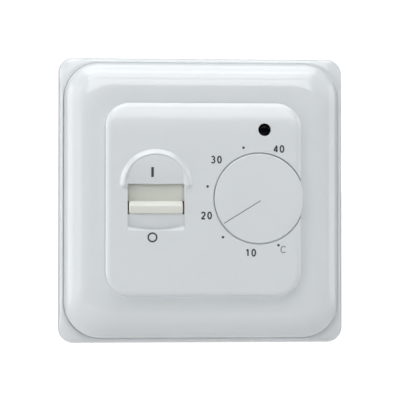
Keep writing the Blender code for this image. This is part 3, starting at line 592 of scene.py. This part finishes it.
def cover_front():
    """The cover's elliptical rim and its face, which is cut into fine steps so that the crown is smooth."""
    rim_width = 1.8 * MM
    rim_drop = 1.1 * MM
    rim_steps = 16
    rim_corner_share = 0.8
    face_half = 18.0 * MM  # the face is flat within this
    face_steps = 16
    sections = []
    for step in range(rim_steps + 1):
        turn = math.pi / 2 * step / rim_steps
        inset = rim_width * (1 - math.cos(turn))
        out = COVER_FACE - rim_drop + rim_drop * math.sin(turn)
        sections.append((COVER_HALF - inset, out, COVER_CORNER - inset * rim_corner_share))
    rim_half, _, rim_corner = sections[-1]
    for step in range(1, face_steps + 1):
        inset = (rim_half - face_half) * step / face_steps
        sections.append((rim_half - inset, COVER_FACE, rim_corner - inset / 3))
    return sections


def cover_blank():
    """The cover as a plain cup, before the well, the slot and the indicator's hole are cut."""
    inside = [rounded_ring(reach, corner, out) for reach, out, corner in cover_inside()]
    front = [rounded_ring(reach, corner, out) for reach, out, corner in cover_front()]
    for ring in front:
        for point in ring:
            point.y += crown_drop(point.z)
    rings = inside + front
    return loft("cover_shell", seat_on_cover(rings, [1.0] * len(rings)))


def well_wall(back):
    """The tube round the knob, cut off where it would pass through the cover's side."""
    front = COVER_FACE - COVER_WALL / 2
    radius = WELL_RADIUS + 1.3 * MM
    limit_corner = 6.0 * MM
    limit_outs = (0.0, 20 * MM)
    wall = turned("well_wall", [(radius, back), (radius, front)], KNOB_X, KNOB_Z)
    reach = COVER_HALF - COVER_WALL / 2
    limit_rings = [rounded_ring(reach, limit_corner, out) for out in limit_outs]
    combine(wall, loft("well_limit", limit_rings), "INTERSECT")
    return wall


def add_knob_well(cover):
    """The well that the knob turns in, with holes in its floor for the shaft and the cover screw."""
    back = WELL_FLOOR - 1.5 * MM
    mouth = (WELL_FLOOR, COVER_FACE)
    flare = 0.08 * MM
    screw_hole_radius = 1.3 * MM
    combine(cover, well_wall(back), "UNION")
    combine(cover, flared_bore("well", WELL_RADIUS, mouth, flare, KNOB_X, KNOB_Z, 144), "DIFFERENCE")
    through = [(SHAFT_HOLE_RADIUS, back - MM), (SHAFT_HOLE_RADIUS, COVER_FACE)]
    combine(cover, turned("shaft_hole", through, KNOB_X, KNOB_Z, 48), "DIFFERENCE")
    screw_low, screw_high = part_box("cover_screw")
    screw_x = (screw_low.x + screw_high.x) / 2
    screw_z = (screw_low.z + screw_high.z) / 2
    screw_hole = [(screw_hole_radius, back - MM), (screw_hole_radius, COVER_FACE)]
    combine(cover, turned("screw_hole", screw_hole, screw_x, screw_z, 32), "DIFFERENCE")


def bead_section(scale):
    """The bead's section as (radius, out): a round outer slope, and an inner one that runs out softly."""
    foot_out = COVER_FACE - 1.0 * MM
    rise = (HOOD_CREST_OUT - COVER_FACE) * scale
    outer_power = 1.3
    inner_sink = 0.15 * MM
    steps = 12
    points = [(HOOD_INNER_RADIUS, foot_out), (HOOD_FOOT_RADIUS, foot_out)]
    for step in range(steps + 1):
        share = step / steps
        radius = HOOD_FOOT_RADIUS + (HOOD_CREST_RADIUS - HOOD_FOOT_RADIUS) * share
        points.append((radius, COVER_FACE + rise * (1 - (1 - share) ** outer_power)))
    for step in range(1, steps + 1):
        share = step / steps
        radius = HOOD_CREST_RADIUS + (HOOD_INNER_RADIUS - HOOD_CREST_RADIUS) * share
        height = (1 + math.cos(math.pi * share)) / 2
        points.append((radius, COVER_FACE - inner_sink + (rise + inner_sink) * height))
    return points


def hood_bead():
    """The bead rises out of a short leg, goes round the half circle and sinks into the other leg."""
    arch_steps = 64
    leg_steps = 8
    end_scale = 0.15
    rings = []

    def ring(turn, drop, scale):
        points = []
        for radius, out in bead_section(scale):
            x = SWITCH_X + radius * math.cos(turn)
            z = HOOD_Z + radius * math.sin(turn) - drop
            points.append(Vector((x, -out, z)))
        return points

    def leg_ring(turn, step):
        share = math.sin(math.pi / 2 * step / leg_steps)
        return ring(turn, HOOD_LEG * (1 - share), end_scale + (1 - end_scale) * share)

    for step in range(leg_steps):
        rings.append(leg_ring(0.0, step))
    for step in range(arch_steps + 1):
        rings.append(ring(math.pi * step / arch_steps, 0.0, 1.0))
    for step in range(leg_steps - 1, -1, -1):
        rings.append(leg_ring(math.pi, step))
    return loft("hood_bead", rings)


def hood_pocket():
    """The shallow recess inside the bead."""
    reach = HOOD_CREST_RADIUS - 0.2 * MM
    steps = 48
    outline = []
    for step in range(steps + 1):
        turn = math.pi * step / steps
        outline.append((SWITCH_X + reach * math.cos(turn), HOOD_Z + reach * math.sin(turn)))
    outline.append((SWITCH_X - reach, HOOD_Z - HOOD_LEG))
    outline.append((SWITCH_X + reach, HOOD_Z - HOOD_LEG))
    outs = (COVER_FACE - 0.9 * MM, COVER_FACE + 2 * MM)
    return loft("hood_pocket", [[Vector((x, -out, z)) for x, z in outline] for out in outs])


def hood_floor_out(z):
    """The hood's floor rises a little below the bead, then curls in towards the lip."""
    top_rise = 0.65 * MM
    swell = 0.12
    curl = 0.26
    length = HOOD_FLOOR_TOP - SLOT_TOP
    share = max(0.0, (HOOD_FLOOR_TOP - z) / length)
    return COVER_FACE + top_rise + length * (swell * share - curl * share**2)


def hood_floor():
    """The floor under the bead, with a fine edge along the lip."""
    columns = 48
    rows = 24
    lip_round = 0.25 * MM
    lip_rise = 0.10 * MM
    reach = HOOD_CREST_RADIUS - 0.05 * MM
    back = COVER_FACE - COVER_WALL + 0.05 * MM

    def point(i, j):
        across = 2 * i / columns - 1
        down = j / rows
        x = SLOT_HALF_WIDTH * across
        top = HOOD_Z + math.sqrt(reach**2 - x**2)
        z = top + (SLOT_TOP - top) * down
        near_lip = max(0.0, 1 - (z - SLOT_TOP) / lip_round)
        return Vector((SWITCH_X + x, -(hood_floor_out(z) + lip_rise * near_lip), z))

    return grid_block("hood_floor", columns, rows, point, back)


def finger_scoop():
    """The recess below the slider: its floor sinks to a bowed crease, then a ramp rises to the face."""
    columns = 40
    floor_rows = 14
    ramp_rows = 6
    start_out = COVER_FACE - 0.20 * MM
    crease_out = COVER_FACE - 1.5 * MM  # the wall behind it stays whole
    floor_power = 1.5
    ramp_end = COVER_FACE + 0.03 * MM
    top = SLOT_BOTTOM + 0.3 * MM

    def point(i, j):
        across = 2 * i / columns - 1
        crease_z = SCOOP_ARC_MIDDLE + (SCOOP_ARC_SIDE - SCOOP_ARC_MIDDLE) * across**2
        if j <= floor_rows:
            share = j / floor_rows
            z = top + (crease_z - top) * share
            out = start_out + (crease_out - start_out) * share**floor_power
        else:
            share = (j - floor_rows) / ramp_rows
            z = crease_z + (SCOOP_LINE - crease_z) * share
            out = crease_out + (ramp_end - crease_out) * math.sin(math.pi / 2 * share)
        return Vector((SWITCH_X + SLOT_HALF_WIDTH * across, -out, z))

    return grid_block("finger_scoop", columns, floor_rows + ramp_rows, point, COVER_FACE + 2 * MM)


def add_switch_relief(cover):
    """The hood, the scoop and the slot, with a guide rib at each side of the slider behind the cover."""
    rib_room = 0.4 * MM
    rib_width = 1.1 * MM
    rib_height = (-14 * MM, 12 * MM)
    rib_out = (9.4 * MM, COVER_FACE - COVER_WALL / 2)
    combine(cover, hood_pocket(), "DIFFERENCE")
    combine(cover, hood_bead(), "UNION")
    combine(cover, hood_floor(), "UNION")
    combine(cover, finger_scoop(), "DIFFERENCE")
    slot_x = (SWITCH_X - SLOT_HALF_WIDTH, SWITCH_X + SLOT_HALF_WIDTH)
    through = (COVER_FACE - 3 * MM, COVER_FACE + 2 * MM)
    combine(cover, box("slot", slot_x, (SLOT_BOTTOM, SLOT_TOP), through), "DIFFERENCE")
    for side in (-1, 1):
        near = SWITCH_X + side * (SLIDER_HALF_WIDTH + rib_room)
        far = near + side * rib_width
        combine(cover, box("rib", sorted((near, far)), rib_height, rib_out), "UNION")


def build_front_cover():
    cover = cover_blank()
    add_knob_well(cover)
    add_switch_relief(cover)
    mouth = (COVER_FACE - 3 * MM, COVER_FACE)
    flare = 0.15 * MM
    hole = flared_bore("indicator_bore", INDICATOR_RADIUS, mouth, flare, INDICATOR_X, INDICATOR_Z, 64)
    combine(cover, hole, "DIFFERENCE")
    finish_piece(cover, "white_cover", "case", "front_cover", sharp=28.0)


def build_lens():
    """A flange behind the cover, and a domed nose inside the hole."""
    nose = INDICATOR_RADIUS - GAP
    flange = 2.5 * MM
    flange_front = COVER_FACE - COVER_WALL - GAP
    chamfer = 0.1 * MM
    profile = [(0.0, LENS_BACK), (flange - chamfer, LENS_BACK), (flange, LENS_BACK + chamfer)]
    profile += [(flange, flange_front), (nose, flange_front)]
    dome_steps = 8
    dome = 0.45 * MM
    front = flange_front + 0.5 * MM
    for step in range(dome_steps + 1):
        turn = math.pi / 2 * step / dome_steps
        profile.append((nose * math.cos(turn), front + dome * math.sin(turn)))
    lens = turned("indicator_window", profile, INDICATOR_X, INDICATOR_Z, 64)
    finish_piece(lens, "smoked_lens", "case", "indicator_lens")


# Knob and slider


def build_knob():
    """A flat disc with a skirt at its edge, and a hub behind it that takes the shaft."""
    edge = 0.35 * MM
    chamfer = 0.15 * MM
    skirt = 1.2 * MM
    under = COVER_FACE - 1.3 * MM
    hub = 3.6 * MM
    bore = 2.3 * MM
    profile = [(0.0, under), (bore, under), (bore, KNOB_BACK), (hub, KNOB_BACK), (hub, under)]
    profile += [(KNOB_RADIUS - skirt, under), (KNOB_RADIUS - skirt, KNOB_SKIRT_BACK)]
    profile += [(KNOB_RADIUS - chamfer, KNOB_SKIRT_BACK), (KNOB_RADIUS, KNOB_SKIRT_BACK + chamfer)]
    edge_steps = 8
    for step in range(edge_steps + 1):
        turn = math.pi / 2 * step / edge_steps
        radius = KNOB_RADIUS - edge * (1 - math.cos(turn))
        profile.append((radius, COVER_FACE - edge + edge * math.sin(turn)))
    profile.append((0.0, COVER_FACE))
    knob = turned("dial_knob", profile, KNOB_X, KNOB_Z, 160)
    finish_piece(knob, "white_cover", "dial", "temperature_knob")


def grip_bar():
    """The ridge that the finger pushes: bevelled on top, softly rounded at its ends and foot."""
    foot = SLIDER_PLATE_OUT - 1.2 * MM
    end_round = 0.5 * MM
    section = [
        (foot, GRIP_TOP),
        (GRIP_OUT - 1.25 * MM, GRIP_TOP),
        (GRIP_OUT - 1.05 * MM, GRIP_TOP - 0.08 * MM),
        (GRIP_OUT - 0.25 * MM, GRIP_TOP - 0.95 * MM),
        (GRIP_OUT - 0.08 * MM, GRIP_TOP - 1.20 * MM),
        (GRIP_OUT, GRIP_TOP - 1.55 * MM),
        (GRIP_OUT - 0.05 * MM, GRIP_BOTTOM + 0.50 * MM),
        (GRIP_OUT - 0.25 * MM, GRIP_BOTTOM + 0.15 * MM),
        (GRIP_OUT - 0.60 * MM, GRIP_BOTTOM),
        (foot, GRIP_BOTTOM),
    ]
    middle_z = (GRIP_TOP + GRIP_BOTTOM) / 2
    round_steps = 5
    stations = []
    for step in range(round_steps + 1):
        turn = math.pi / 2 * step / round_steps
        stations.append((-GRIP_HALF_WIDTH + end_round * (1 - math.cos(turn)), 1 - math.sin(turn)))
    stations += [(-x, shrink) for x, shrink in reversed(stations)]
    rings = []
    for x, shrink in stations:
        ring = []
        for out, z in section:
            drawn_out = out - end_round * shrink * (out > foot)
            drawn_z = z + (middle_z - z) * shrink * end_round / (GRIP_TOP - middle_z)
            ring.append(Vector((SWITCH_X + x, -drawn_out, drawn_z)))
        rings.append(ring)
    return loft("grip_bar", rings)


def slider_hollow():
    """What is cut from the plate above the grip, so that it sinks towards the grip."""
    columns = 24
    rows = 16
    half_width = SLOT_HALF_WIDTH + 0.6 * MM
    start_out = SLIDER_PLATE_OUT + 0.02 * MM
    sink_power = 1.6
    top = slider_high.z - 0.8 * MM
    low = GRIP_TOP - 0.1 * MM

    def point(i, j):
        share = j / rows
        x = SWITCH_X + (2 * i / columns - 1) * half_width
        out = start_out - SLIDER_SINK * share**sink_power
        return Vector((x, -out, top + (low - top) * share))

    return grid_block("slider_hollow", columns, rows, point, SLIDER_PLATE_OUT + 2 * MM)


def build_slider():
    """Plate behind the cover with the grip on it, open beside the grip, and the carriage pocket."""
    x_range = (slider_low.x, slider_high.x)
    z_range = (slider_low.z, slider_high.z)
    slider = box("slide_button", x_range, z_range, (SLIDER_BACK, SLIDER_PLATE_OUT))
    combine(slider, slider_hollow(), "DIFFERENCE")
    combine(slider, grip_bar(), "UNION")
    notch_z = (GRIP_BOTTOM - 0.1 * MM, GRIP_TOP + 0.1 * MM)
    notch_out = (SLIDER_BACK - MM, SLIDER_PLATE_OUT + MM)
    for side in (-1, 1):
        inner = SWITCH_X + side * GRIP_HALF_WIDTH
        outer = SWITCH_X + side * (SLOT_HALF_WIDTH + 0.3 * MM)
        combine(slider, box("notch", sorted((inner, outer)), notch_z, notch_out), "DIFFERENCE")
    pocket_x = (SWITCH_X - 2.2 * MM, SWITCH_X + 2.2 * MM)
    pocket_z = (-4.0 * MM, -0.8 * MM)
    pocket_out = (SLIDER_BACK - MM, 12.0 * MM)
    combine(slider, box("pocket", pocket_x, pocket_z, pocket_out), "DIFFERENCE")
    finish_piece(slider, "cream_slider", "slider", "power_slider", sharp=35.0)


# Printed marks


def join_all(name, objects):
    """One mesh from several separate ones."""
    shape = bmesh.new()
    for obj in objects:
        shape.from_mesh(obj.data)
        bpy.data.objects.remove(obj, do_unlink=True)
    mesh = bpy.data.meshes.new(name)
    shape.to_mesh(mesh)
    shape.free()
    return add_object(name, mesh)


def stroke(points, width, closed=False):
    """A line of ink through (x, z) points on the cover's face."""
    count = len(points)
    rings = []
    for index, (x, z) in enumerate(points):
        before = points[index - 1] if index or closed else points[index]
        after = points[(index + 1) % count] if index + 1 < count or closed else points[index]
        along = Vector((after[0] - before[0], 0.0, after[1] - before[1])).normalized()
        side = Vector((-along.z, 0.0, along.x)) * width / 2
        middle = Vector((x, 0.0, z))
        back = Vector((0.0, -COVER_FACE, 0.0))
        front = Vector((0.0, -COVER_FACE - INK_LIFT, 0.0))
        outline = ((side, front), (-side, front), (-side, back), (side, back))
        rings.append([middle + offset + depth for offset, depth in outline])
    return loft("stroke", rings, endless=closed)


def bow(centre_x, centre_z, radius_x, radius_z, start, end, steps=18):
    """Points along part of an ellipse, from one angle to another in degrees."""
    points = []
    for step in range(steps + 1):
        turn = math.radians(start + (end - start) * step / steps)
        points.append((centre_x + radius_x * math.cos(turn), centre_z + radius_z * math.sin(turn)))
    return points


def character_lines(character):
    """Centre lines of a character that is 1 high and about 0.55 wide, as (points, closed) pairs."""
    if character == "0":
        return [(bow(0.26, 0.5, 0.26, 0.5, 0, 345, 23), True)]
    if character == "1":
        flag_and_stem = [(0.10, 0.80), (0.33, 1.0), (0.34, 0.99), (0.34, 0.0)]
        return [(flag_and_stem, False)]
    if character == "2":
        neck = bow(0.26, 0.72, 0.25, 0.28, 165, -35)
        foot = [(0.0, 0.0), (0.01, 0.0), (0.53, 0.0)]
        return [(neck + foot, False)]
    if character == "3":
        upper = bow(0.24, 0.76, 0.22, 0.24, 150, -90, 14)
        lower = bow(0.24, 0.27, 0.26, 0.27, 90, -150, 14)
        return [(upper, False), (lower, False)]
    if character == "4":
        bar_and_slope = [(0.56, 0.27), (0.0, 0.27), (0.01, 0.30), (0.42, 1.0)]
        stem = [(0.43, 0.99), (0.43, 0.0)]
        return [(bar_and_slope + stem, False)]
    letter_c = bow(0.36, 0.5, 0.42, 0.5, 45, 315)
    return [(letter_c, False)]


def printed_text(words, x, z, height, weight):
    """Characters in a row, centred on a point of the cover's face."""
    character_width = 0.55
    half_width = 0.27
    space = 0.16
    size = height - weight
    pitch = size * character_width + weight + space * height
    first = x - pitch * (len(words) - 1) / 2 - size * half_width
    marks = []
    for index, character in enumerate(words):
        left = first + pitch * index
        for points, closed in character_lines(character):
            placed = [(left + u * size, z + (v - 0.5) * size) for u, v in points]
            marks.append(stroke(placed, weight, closed))
    return marks


def dial_point(degrees, radius):
    """A point of the face, by its angle and distance from the middle of the knob."""
    angle = math.radians(degrees)
    return KNOB_X + radius * math.cos(angle), KNOB_Z + radius * math.sin(angle)


def scale_degrees(temperature):
    """Where a temperature lies round the dial, counted anticlockwise from the right."""
    degrees_at_15 = -133.3
    degrees_per_kelvin = 5.97
    return degrees_at_15 - degrees_per_kelvin * (temperature - 15)


def printed_dot(degrees, radius):
    x, z = dial_point(degrees, radius)
    profile = [(DOT_SIZE / 2, COVER_FACE), (DOT_SIZE / 2, COVER_FACE + INK_LIFT)]
    return turned("dot", profile, x, z, 24)


def build_scale():
    """Numbers, half-way dots and the unit round the dial, and the ring that marks the off position."""
    marks = []
    for words, degrees, radius in NUMBERS:
        marks += printed_text(words, *dial_point(degrees, radius), DIGIT_HEIGHT, DIGIT_WEIGHT)
    for temperature in (15, 25, 35):
        marks.append(printed_dot(scale_degrees(temperature), HALF_WAY_RADIUS))
    marks.append(printed_dot(*DEGREE_DOT_PLACE))
    off_radius = (OFF_MARK_SIZE - OFF_MARK_WEIGHT) / 2
    off_mark = bow(MARK_X, OFF_MARK_Z, off_radius, off_radius, 0, 354, 59)
    marks.append(stroke(off_mark, OFF_MARK_WEIGHT, closed=True))
    finish_piece(join_all("scale_print", marks), "printed_grey", "case")
    unit_height = DIGIT_HEIGHT * 0.92
    unit_weight = DIGIT_WEIGHT * 0.7
    unit = printed_text("C", *dial_point(*UNIT_PLACE), unit_height, unit_weight)
    finish_piece(join_all("unit_print", unit), "printed_grey", "case", material=PALE_INK)


def build_on_mark():
    """The upright stroke on the hood's leaning floor."""
    rows = 10

    def point(i, j):
        x = MARK_X + ON_MARK_WIDTH / 2 * (2 * i - 1)
        z = ON_MARK_HIGH + (ON_MARK_LOW - ON_MARK_HIGH) * j / rows
        return Vector((x, -hood_floor_out(z) - INK_LIFT, z))

    mark = grid_block("on_mark", 1, rows, point, COVER_FACE - MM)
    finish_piece(mark, "printed_grey", "case")


def build_pointer():
    """The thin line on the knob, from just below its centre to its edge."""
    start = (KNOB_X + 0.38 * MM, KNOB_Z - 0.63 * MM)
    end = (KNOB_X - 10.0 * MM, KNOB_Z - 7.05 * MM)
    pointer = stroke([start, end], POINTER_WIDTH)
    pointer.name = "pointer_line"
    finish_piece(pointer, "printed_grey", "dial", material=PALE_INK)


# The CAD pieces that are shown as they are


def dress_cad_nodes():
    """Each carried-over node gets its slot's material, smooth shading and a fine bevel."""
    slots = {entry["node"]: entry["material_slot"] for entry in frame["record"]["subparts"]}
    for name, node in frame["nodes"].items():
        node.data.materials.clear()
        node.data.materials.append(MATERIALS[slots[name]])
        node.data.shade_smooth()
        node.data.set_sharp_from_angle(angle=math.radians(SHARP_ANGLE))
        bevel = node.modifiers.new("Fine edge", "BEVEL")
        bevel.width = FINE_BEVEL
        bevel.segments = 2
        bevel.limit_method = "ANGLE"
        bevel.angle_limit = math.radians(SHARP_ANGLE)
        bevel.use_clamp_overlap = True
        weighted = node.modifiers.new("Weighted", "WEIGHTED_NORMAL")
        weighted.keep_sharp = True


# Stage


def aim(obj, target):
    obj.rotation_euler = (Vector(target) - obj.location).to_track_quat("-Z", "Y").to_euler()


def add_softbox(name, azimuth, elevation, distance, width, height, power):
    """A rectangular light aimed at the object. Azimuth 0 is straight in front, plus is to the right."""
    light = bpy.data.lights.new(name, "AREA")
    light.shape = "RECTANGLE"
    light.size = width
    light.size_y = height
    light.energy = power
    obj = bpy.data.objects.new(name, light)
    bpy.context.scene.collection.objects.link(obj)
    turn = math.radians(azimuth)
    lift = math.radians(elevation)
    level = distance * math.cos(lift)
    obj.location = (level * math.sin(turn), -level * math.cos(turn), distance * math.sin(lift))
    aim(obj, (0.0, 0.0, 0.0))
    return obj


def build_camera():
    """A long lens, a little to the left of square on."""
    yaw = math.radians(-4.25)
    pitch = math.radians(-1.1)
    distance = 0.518
    view_width = 0.11584  # what the frame spans at the wall plane
    camera = bpy.data.cameras.new("camera")
    camera.sensor_width = 36.0
    camera.lens = camera.sensor_width / 2 / (view_width / 2 / distance)
    camera.clip_start = 0.01
    camera.clip_end = 20.0
    obj = bpy.data.objects.new("camera", camera)
    bpy.context.scene.collection.objects.link(obj)
    target = Vector((-0.11 * MM, 0.0, 0.10 * MM))
    level = math.cos(pitch)
    away = Vector((math.sin(yaw) * level, -math.cos(yaw) * level, math.sin(pitch)))
    obj.location = target + away * distance
    aim(obj, target)
    bpy.context.scene.camera = obj


def build_world():
    """White where the camera looks past the object. As a light, a dome that is brighter in two bands."""
    backdrop_brightness = 1.05
    world = bpy.data.worlds.new("studio")
    bpy.context.scene.world = world
    world.use_nodes = True
    nodes = world.node_tree.nodes
    links = world.node_tree.links
    place = nodes.new("ShaderNodeTexCoord")
    split = nodes.new("ShaderNodeSeparateXYZ")
    height = nodes.new("ShaderNodeMapRange")
    height.inputs["From Min"].default_value = -1.0
    ramp = nodes.new("ShaderNodeValToRGB")
    stops = ramp.color_ramp.elements
    while len(stops) < len(DOME):
        stops.new(0.5)
    for index, brightness in enumerate(DOME):
        stops[index].position = index / (len(DOME) - 1)
        stops[index].color = (*shade_of(DOME_TINT, brightness), 1.0)
    links.new(place.outputs["Generated"], split.inputs["Vector"])
    links.new(split.outputs["Z"], height.inputs["Value"])
    links.new(height.outputs["Result"], ramp.inputs["Fac"])
    dome = nodes["Background"]
    links.new(ramp.outputs["Color"], dome.inputs["Color"])
    white = nodes.new("ShaderNodeBackground")
    white.inputs["Strength"].default_value = backdrop_brightness
    white.inputs["Color"].default_value = (1.0, 1.0, 1.0, 1.0)
    path = nodes.new("ShaderNodeLightPath")
    mix = nodes.new("ShaderNodeMixShader")
    links.new(path.outputs["Is Camera Ray"], mix.inputs["Fac"])
    links.new(dome.outputs["Background"], mix.inputs[1])
    links.new(white.outputs["Background"], mix.inputs[2])
    links.new(mix.outputs["Shader"], nodes["World Output"].inputs["Surface"])


def build_floor():
    """A plain pale floor well below the object, for views from above."""
    radius = 0.6
    height = -0.16
    shape = bmesh.new()
    bmesh.ops.create_circle(shape, cap_ends=True, segments=96, radius=radius)
    mesh = bpy.data.meshes.new("floor")
    shape.to_mesh(mesh)
    shape.free()
    floor = add_object("floor", mesh)
    floor.location = (0.0, 0.0, height)
    material, shader = new_material("floor_paper")
    vary_colour(material, shader, noise(material, 3.0), (0.74, 0.74, 0.74), (0.77, 0.77, 0.77))
    shader.inputs["Roughness"].default_value = 0.9
    mesh.materials.append(material)


def add_fill(name, *placing):
    """Two boxes in one place: one lights FILLED_PIECES and casts no shadow, the other lights the rest."""
    for suffix, is_soft in (("_soft", True), ("_plain", False)):
        light = add_softbox(name + suffix, *placing)
        light.data.use_shadow = not is_soft
        lit = bpy.data.collections.new(name + suffix)
        for obj in bpy.context.scene.objects:
            if obj.type == "MESH" and (obj.name in FILLED_PIECES) == is_soft:
                lit.objects.link(obj)
        light.light_linking.receiver_collection = lit


def build_lights():
    """Broad boxes above, in front, at both sides and behind: angles, distance, size and power of each."""
    add_softbox("top", 0, 86, 1.1, 1.4, 0.95, 7.6)
    add_softbox("top_front", 0, 60, 0.8, 0.9, 0.35, 0.6)
    add_softbox("top_mid", 0, 45, 0.9, 0.9, 0.3, 0.65)
    add_fill("high_front", 0, 30, 1.0, 0.9, 0.3, 2.2)
    add_fill("high_fill", 0, 58, 0.9, 0.9, 0.45, 1.7)
    add_softbox("low_front", 0, -22, 1.0, 0.9, 0.3, 0.8)
    add_softbox("left", -85, 5, 0.8, 0.5, 0.8, 2.6)
    add_softbox("left_front", -50, 10, 0.9, 0.45, 0.8, 1.15)
    add_softbox("right", 85, 5, 0.8, 0.5, 0.8, 1.7)
    add_softbox("back", 170, 14, 0.9, 0.5, 0.4, 1.8)


bpy.context.scene.view_settings.view_transform = "Standard"
dress_cad_nodes()
build_wall_frame()
build_trim_frame()
build_front_cover()
build_lens()
build_knob()
build_slider()
build_scale()
build_on_mark()
build_pointer()
build_camera()
build_world()
build_floor()
build_lights()
